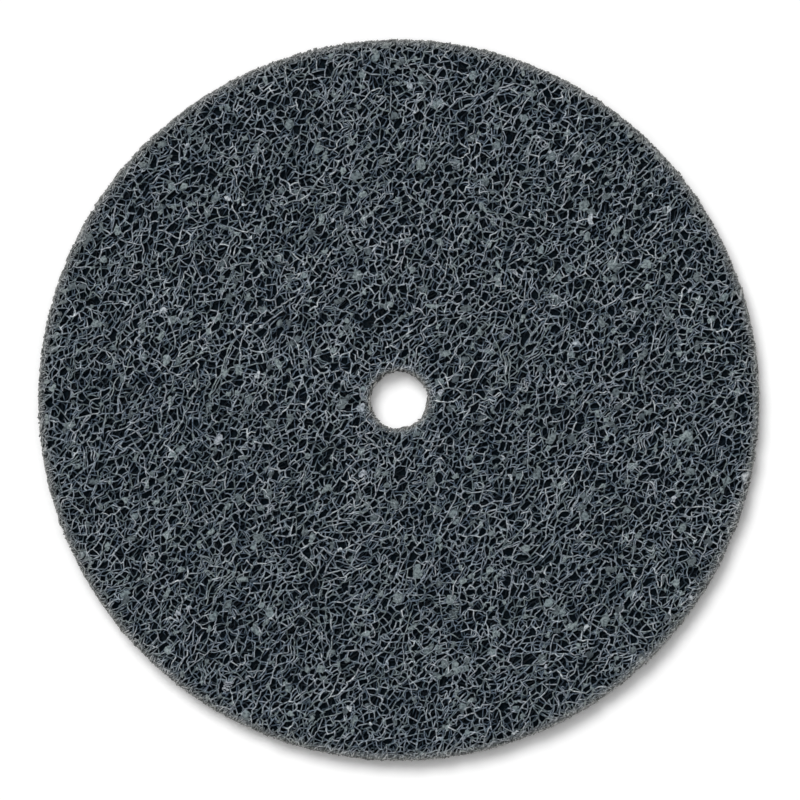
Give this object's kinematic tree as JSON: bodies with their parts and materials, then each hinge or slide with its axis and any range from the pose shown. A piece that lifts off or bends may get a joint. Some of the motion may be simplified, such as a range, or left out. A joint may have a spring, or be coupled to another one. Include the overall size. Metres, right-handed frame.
{
  "type": "unitized abrasive wheel",
  "caption": "Thin flat disc of resin-bonded crimped nylon web with a plain central arbor hole, for deburring and blending.",
  "frame": {"origin": "centre of the arbor hole on the lower face, on which the wheel lies", "axes": "+Z along the arbor hole's axis, out of the upper face; +X and +Y in the plane of the wheel"},
  "size_m": [0.0762, 0.0762, 0.0032],
  "materials": {
    "abrasive_web": "rough open web of nylon fibre coated in blue-grey abrasive resin"
  },
  "bodies": {
    "root": {"abrasive_wheel": "abrasive_web"}
  },
  "joints": []
}
